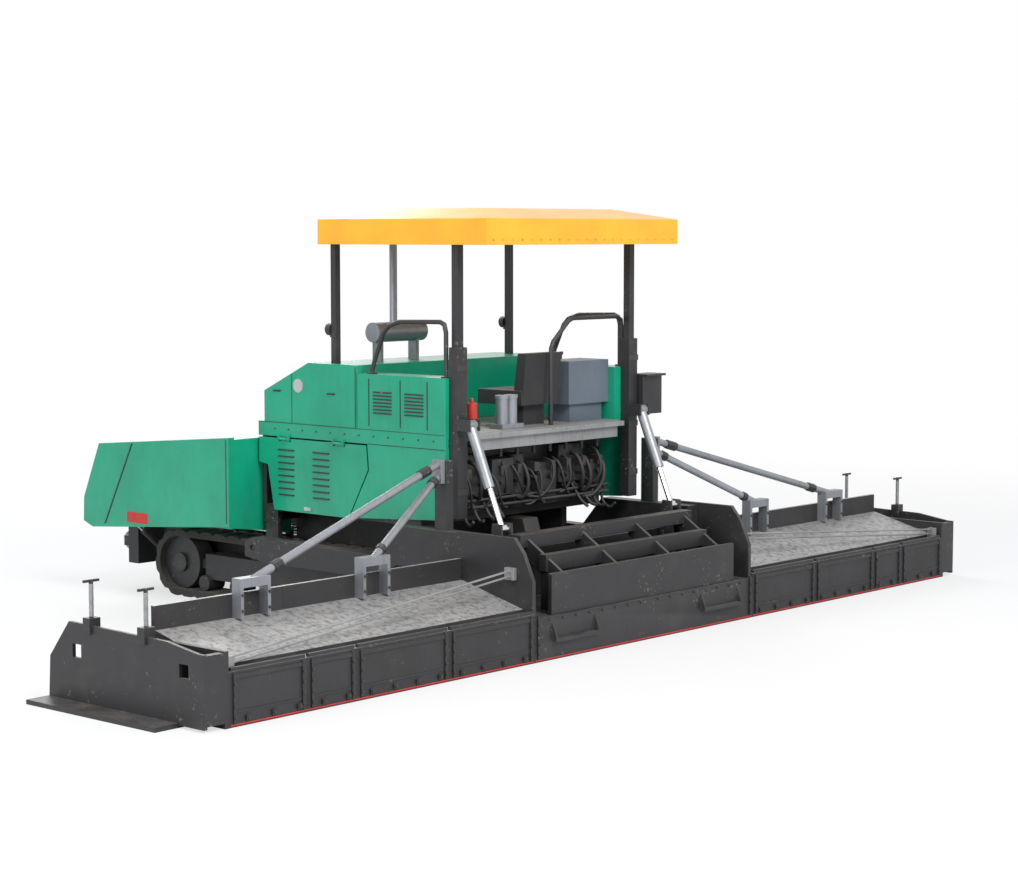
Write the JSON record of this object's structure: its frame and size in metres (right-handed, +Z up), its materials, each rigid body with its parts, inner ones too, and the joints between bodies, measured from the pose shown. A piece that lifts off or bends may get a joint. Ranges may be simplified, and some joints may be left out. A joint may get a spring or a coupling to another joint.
{
  "type": "tracked asphalt paver",
  "caption": "Tracked road paver with folding hopper wings, conveyor, augers, engine hood, canopy, and a wide bolt-on screed lifted by cylinders.",
  "frame": {"origin": "centre of the bounding box, on the ground under the tracks and screed", "axes": "+X to the machine's right along the screed, +Y forwards towards the hopper, +Z up"},
  "size_m": [10.38, 5.9996, 3.67],
  "materials": {
    "green": "satin paint, dusty",
    "orange": "satin paint",
    "black": "satin paint with wear",
    "steel_dark": "dull, stained",
    "steel_grey": "worn grey",
    "steel_pale": "bare, scuffed",
    "track_rubber": "matt",
    "chrome": "polished",
    "panel_grey": "satin",
    "seat": "matt"
  },
  "bodies": {
    "tractor": {"auger_gearbox": "steel_dark", "canopy": "orange", "canopy_frame_left": "black", "canopy_frame_right": "black", "console": "panel_grey", "control_box": "black", "conveyor": "steel_dark", "engine_block": "steel_dark", "exhaust": "steel_pale", "handrail_left": "black", "handrail_rear": "black", "handrail_right": "black", "hood": "green", "main_frame": "black", "platform": "steel_grey", "rear_machinery": "black", "seat": "seat", "side_body_left": "green", "side_body_right": "green", "track_frame_left": "black", "track_frame_right": "black", "track_left": "track_rubber", "track_right": "track_rubber"},
    "door_left": {"engine_door_left": "green"},
    "auger_left_body": {"auger_left": "steel_dark"},
    "wing_left": {"hopper_wing_left": "green"},
    "wing_barrel_left_body": {"wing_barrel_left": "steel_dark"},
    "wing_rod_left_body": {"wing_rod_left": "chrome"},
    "roller_left": {"push_roller_left": "steel_grey"},
    "lift_barrel_left_body": {"lift_barrel_left": "steel_pale"},
    "lift_rod_left_body": {"lift_rod_left": "chrome"},
    "door_right": {"engine_door_right": "green"},
    "auger_right_body": {"auger_right": "steel_dark"},
    "wing_right": {"hopper_wing_right": "green"},
    "wing_barrel_right_body": {"wing_barrel_right": "steel_dark"},
    "wing_rod_right_body": {"wing_rod_right": "chrome"},
    "roller_right": {"push_roller_right": "steel_grey"},
    "lift_barrel_right_body": {"lift_barrel_right": "steel_pale"},
    "lift_rod_right_body": {"lift_rod_right": "chrome"},
    "push_beam_body": {"push_beam": "black"},
    "screed": {"brace_left": "steel_pale", "brace_right": "steel_pale", "end_gate_left": "black", "end_gate_right": "black", "extension_left_1": "steel_grey", "extension_left_2": "steel_grey", "extension_left_3": "steel_grey", "extension_left_4": "steel_grey", "extension_right_1": "steel_grey", "extension_right_2": "steel_grey", "extension_right_3": "steel_grey", "extension_right_4": "steel_grey", "low_stay_left": "steel_grey", "low_stay_right": "steel_grey", "main_screed": "black", "screed_steps": "black", "tow_arm_left": "black", "tow_arm_right": "black"}
  },
  "joints": [
    {"name": "screed_lift", "type": "hinge", "parent": "tractor", "child": "screed", "pos_m": [0, 0.47, 0.62], "axis": [-1, 0, 0], "range_deg": [0, 5]},
    {"name": "lift_barrel_left_swing", "type": "hinge", "parent": "tractor", "child": "lift_barrel_left_body", "pos_m": [-1.15, -1.93, 1.85], "axis": [-1, 0, 0], "range_deg": [0, 4.47]},
    {"name": "lift_rod_left_slide", "type": "slide", "parent": "lift_barrel_left_body", "child": "lift_rod_left_body", "axis": [0, 0.39, 0.9208], "range_m": [0, 0.2361]},
    {"name": "wing_left_fold", "type": "hinge", "parent": "tractor", "child": "wing_left", "pos_m": [-0.8, 1.65, 0.72], "axis": [0, 1, 0], "range_deg": [0, 65]},
    {"name": "wing_barrel_left_swing", "type": "hinge", "parent": "tractor", "child": "wing_barrel_left_body", "pos_m": [-0.86, 2.35, 0.32], "axis": [0, 1, 0], "range_deg": [0, 37.94]},
    {"name": "wing_rod_left_slide", "type": "slide", "parent": "wing_barrel_left_body", "child": "wing_rod_left_body", "axis": [-0.7568, 0, 0.6536], "range_m": [0, 0.2811]},
    {"name": "engine_door_left_hinge", "type": "hinge", "parent": "tractor", "child": "door_left", "pos_m": [-1.262, -0.15, 1.612], "axis": [0, 1, 0], "range_deg": [0, 80]},
    {"name": "auger_left_spin", "type": "hinge", "parent": "tractor", "child": "auger_left_body", "pos_m": [-0.12, -1.65, 0.36], "axis": [1, 0, 0], "continuous": true},
    {"name": "lift_barrel_right_swing", "type": "hinge", "parent": "tractor", "child": "lift_barrel_right_body", "pos_m": [1.15, -1.93, 1.85], "axis": [-1, 0, 0], "range_deg": [0, 4.47]},
    {"name": "lift_rod_right_slide", "type": "slide", "parent": "lift_barrel_right_body", "child": "lift_rod_right_body", "axis": [0, 0.39, 0.9208], "range_m": [0, 0.2361]},
    {"name": "wing_right_fold", "type": "hinge", "parent": "tractor", "child": "wing_right", "pos_m": [0.8, 1.65, 0.72], "axis": [0, -1, 0], "range_deg": [0, 65]},
    {"name": "wing_barrel_right_swing", "type": "hinge", "parent": "tractor", "child": "wing_barrel_right_body", "pos_m": [0.86, 2.35, 0.32], "axis": [0, -1, 0], "range_deg": [0, 37.94]},
    {"name": "wing_rod_right_slide", "type": "slide", "parent": "wing_barrel_right_body", "child": "wing_rod_right_body", "axis": [0.7568, 0, 0.6536], "range_m": [0, 0.2811]},
    {"name": "engine_door_right_hinge", "type": "hinge", "parent": "tractor", "child": "door_right", "pos_m": [1.262, -0.15, 1.612], "axis": [0, -1, 0], "range_deg": [0, 80]},
    {"name": "auger_right_spin", "type": "hinge", "parent": "tractor", "child": "auger_right_body", "pos_m": [0.12, -1.65, 0.36], "axis": [1, 0, 0], "continuous": true},
    {"name": "push_beam_swing", "type": "hinge", "parent": "tractor", "child": "push_beam_body", "pos_m": [0, 2.57, 0.42], "axis": [0, 0, 1], "range_deg": [-4, 4]},
    {"name": "push_roller_left_spin", "type": "hinge", "parent": "push_beam_body", "child": "roller_left", "pos_m": [-0.035, 2.91, 0.42], "axis": [1, 0, 0], "continuous": true},
    {"name": "push_roller_right_spin", "type": "hinge", "parent": "push_beam_body", "child": "roller_right", "pos_m": [0.035, 2.91, 0.42], "axis": [1, 0, 0], "continuous": true}
  ],
  "couplings": [
    {"joint": "lift_barrel_left_swing", "follows": "screed_lift", "ratio": 0.88504},
    {"joint": "lift_rod_left_slide", "follows": "screed_lift", "m_per_rad": 2.6944},
    {"joint": "wing_barrel_left_swing", "follows": "wing_left_fold", "ratio": 0.5822},
    {"joint": "wing_rod_left_slide", "follows": "wing_left_fold", "m_per_rad": 0.24694},
    {"joint": "lift_barrel_right_swing", "follows": "screed_lift", "ratio": 0.88504},
    {"joint": "lift_rod_right_slide", "follows": "screed_lift", "m_per_rad": 2.6944},
    {"joint": "wing_barrel_right_swing", "follows": "wing_right_fold", "ratio": 0.5822},
    {"joint": "wing_rod_right_slide", "follows": "wing_right_fold", "m_per_rad": 0.24694}
  ]
}
